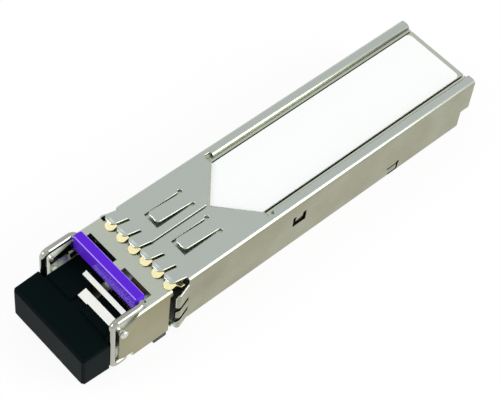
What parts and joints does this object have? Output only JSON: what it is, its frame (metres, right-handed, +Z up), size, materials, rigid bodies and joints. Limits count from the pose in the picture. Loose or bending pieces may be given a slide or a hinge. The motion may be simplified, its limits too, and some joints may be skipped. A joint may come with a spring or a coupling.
{
  "type": "pluggable optical transceiver module",
  "caption": "Narrow metal optical transceiver with a fibre port, a rubber dust plug, a wire bail latch with a violet grip, spring fingers and a bare label.",
  "frame": {"origin": "centre line of the cover's underside, in the plane where the spring fingers start", "axes": "+X across the width, +Y from the fibre port to the edge connector, +Z up"},
  "size_m": [0.0148, 0.0648, 0.0106],
  "materials": {
    "stainless_sheet": "satin",
    "nickel_zinc": "satin, cast and plated",
    "nickel_wire": "bright",
    "violet_nylon": "moulded, satin",
    "steel_pin": "polished",
    "spring_bronze": "satin",
    "beryllium_copper": "bright",
    "black_nylon": "moulded, matte",
    "plug_rubber": "matte",
    "turned_steel": "turned",
    "zirconia": "polished",
    "gold_plate": "bright",
    "green_laminate": "solder mask",
    "polyimide_film": "satin",
    "chip_epoxy": "matte",
    "capacitor_ceramic": "satin",
    "ferrite": "matte",
    "gap_pad": "matte",
    "label_stock": "matte, bare"
  },
  "bodies": {
    "module": {"cover_shell": "stainless_sheet", "base_housing": "nickel_zinc", "bail_stop_pins": "steel_pin", "bail_detent_spring": "spring_bronze", "latch_pivot_pin": "steel_pin", "latch_leaf_spring": "spring_bronze", "emi_spring_strip": "beryllium_copper", "receptacle_barrel": "turned_steel", "ferrule_sleeve": "zirconia", "optics_block": "turned_steel", "optics_clamp": "nickel_zinc", "laser_can": "turned_steel", "detector_can": "turned_steel", "laser_flex": "polyimide_film", "detector_flex": "polyimide_film", "circuit_board": "green_laminate", "edge_contacts": "gold_plate", "laser_driver_chip": "chip_epoxy", "amplifier_chip": "chip_epoxy", "controller_chip": "chip_epoxy", "memory_chip": "chip_epoxy", "chip_capacitors": "capacitor_ceramic", "ferrite_beads": "ferrite", "board_screws": "steel_pin", "thermal_pad": "gap_pad", "label_sheet": "label_stock"},
    "bail": {"bail_wire": "nickel_wire", "bail_grip": "violet_nylon"},
    "lever": {"latch_lever": "black_nylon"},
    "plug": {"dust_plug": "plug_rubber"}
  },
  "joints": [
    {"name": "bail_hinge", "type": "hinge", "parent": "module", "child": "bail", "pos_m": [0, -0.009, 0.0006], "axis": [1, 0, 0], "range_deg": [0, 90]},
    {"name": "lever_hinge", "type": "hinge", "parent": "module", "child": "lever", "pos_m": [0, -0.00415, 0.00075], "axis": [1, 0, 0], "range_deg": [0, 3.5]},
    {"name": "plug_slide", "type": "slide", "parent": "module", "child": "plug", "axis": [0, -1, 0], "range_m": [0, 0.03]}
  ],
  "couplings": [
    {"joint": "bail_hinge", "follows": "plug_slide", "rad_per_m": 52.35},
    {"joint": "lever_hinge", "follows": "plug_slide", "rad_per_m": 2.0355}
  ]
}
